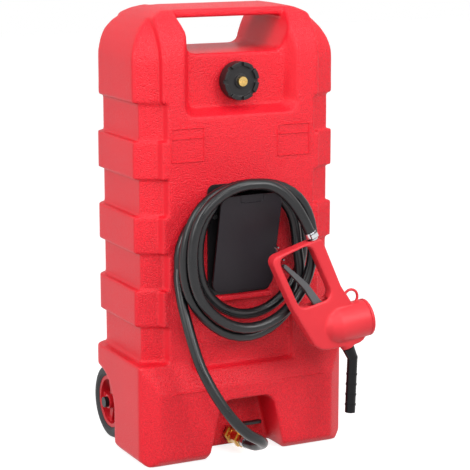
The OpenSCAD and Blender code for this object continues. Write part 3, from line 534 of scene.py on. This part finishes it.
def framePath(x, z, w, h):
    r = marks["corner"]
    path = []
    for cx, cz, turn in ((1, 1, 0), (-1, 1, 90), (-1, -1, 180), (1, -1, 270)):
        for k in range(5):
            a = math.radians(turn + 22.5 * k)
            path.append((x + cx * (w / 2 - r) + r * math.cos(a), z + cz * (h / 2 - r) + r * math.sin(a)))
    path.append(path[0])
    full = []
    for a, b in zip(path, path[1:]):
        full += stepped(a, b)[:-1] if math.dist(a, b) > 2 * r else [a]
    return full + [path[0]]


markMesh = bmesh.new()
for x, z, w, h, share in marks["frames"]:
    raisedLine(markMesh, framePath(x, z, w, h))
    level = z + h / 2 - h * share
    raisedLine(markMesh, stepped((x - w / 2 + marks["inset"], level), (x + w / 2 - marks["inset"], level)))
for x, z, length in marks["bars"]:
    raisedLine(markMesh, stepped((x, z), (x + length, z)))
bmesh.ops.recalc_face_normals(markMesh, faces=markMesh.faces)
for face in markMesh.faces:
    face.smooth = True
frontMarks = bpy.data.meshes.new("frontMarks")
markMesh.to_mesh(frontMarks)
markMesh.free()
dress(frontMarks, mats["tank_red"])
place(bpy.data.objects.new("frontMarks", frontMarks), "caddy")
print("frontMarks", len(frontMarks.polygons))


# Floor and world: the eye and the reflections see white, the object gets a plain level of light
def seenRays(tree):
    paths = tree.nodes.new("ShaderNodeLightPath")
    seen = paths.outputs["Is Camera Ray"]
    for other in ("Is Glossy Ray", "Is Transmission Ray"):
        seen = mathNode(tree, "MAXIMUM", seen, paths.outputs[other])
    return seen


ground = dict(half=9, drop=0.0005, grey=0.42, glow=0.80, rough=0.9, specular=0.1)
half = ground["half"]
floorMesh = bpy.data.meshes.new("floor")
corners = [(-half, -half, 0), (half, -half, 0), (half, half, 0), (-half, half, 0)]
floorMesh.from_pydata(corners, [], [(0, 1, 2, 3)])
floor = place(bpy.data.objects.new("floor", floorMesh))
floor.location.z = -ground["drop"]
floorMat, floorTree, floorShader = newMaterial("floorWhite")[:3]
floorShader.inputs["Base Color"].default_value = (ground["grey"], ground["grey"], ground["grey"], 1)
floorShader.inputs["Roughness"].default_value = ground["rough"]
floorShader.inputs["Specular IOR Level"].default_value = ground["specular"]
floorShader.inputs["Emission Color"].default_value = (1, 1, 1, 1)
glow = ranged(floorTree, seenRays(floorTree), 0, 1, 0, ground["glow"])
floorTree.links.new(glow, floorShader.inputs["Emission Strength"])
dress(floorMesh, floorMat)
print("floor", ground["grey"])

surround = dict(light=0.42, seen=1.0)
world = bpy.data.worlds.new("world")
scene.world = world
world.use_nodes = True
tree = world.node_tree
sky = next(n for n in tree.nodes if n.type == "BACKGROUND")
backdrop = tree.nodes.new("ShaderNodeBackground")
for shade, strength in ((sky, surround["light"]), (backdrop, surround["seen"])):
    shade.inputs["Color"].default_value = (1, 1, 1, 1)
    shade.inputs["Strength"].default_value = strength
choose = tree.nodes.new("ShaderNodeMixShader")
tree.links.new(seenRays(tree), choose.inputs["Fac"])
tree.links.new(sky.outputs[0], choose.inputs[1])
tree.links.new(backdrop.outputs[0], choose.inputs[2])
out = next(n for n in tree.nodes if n.type == "OUTPUT_WORLD")
tree.links.new(choose.outputs[0], out.inputs["Surface"])
print("world", surround["light"])

# Lights
lights = dict(
    leftSoft=dict(at=(-2.6, -0.8, 1.7), aim=(0, 0, 0.45), size=(0.9, 2.4), watts=58),
    frontKey=dict(at=(1.2, -2.6, 2.0), aim=(0, 0, 0.45), size=(1.5, 1.5), watts=60),
    frontFill=dict(at=(-1.0, -3.0, 1.8), aim=(0, 0, 0.5), size=(0.8, 0.8), watts=27),
    topSoft=dict(at=(-0.1, -0.9, 2.1), aim=(0, 0, 0.6), size=(1.3, 0.9), watts=17))
for name, lamp in lights.items():
    data = bpy.data.lights.new(name, "AREA")
    data.shape = "RECTANGLE"
    data.size, data.size_y = lamp["size"]
    data.energy = lamp["watts"]
    obj = place(bpy.data.objects.new(name, data))
    obj.location = lamp["at"]
    obj.rotation_euler = facing(lamp["at"], lamp["aim"])
scene.view_settings.view_transform = "Standard"
print("lights", len(lights))

bpy.context.view_layer.update()
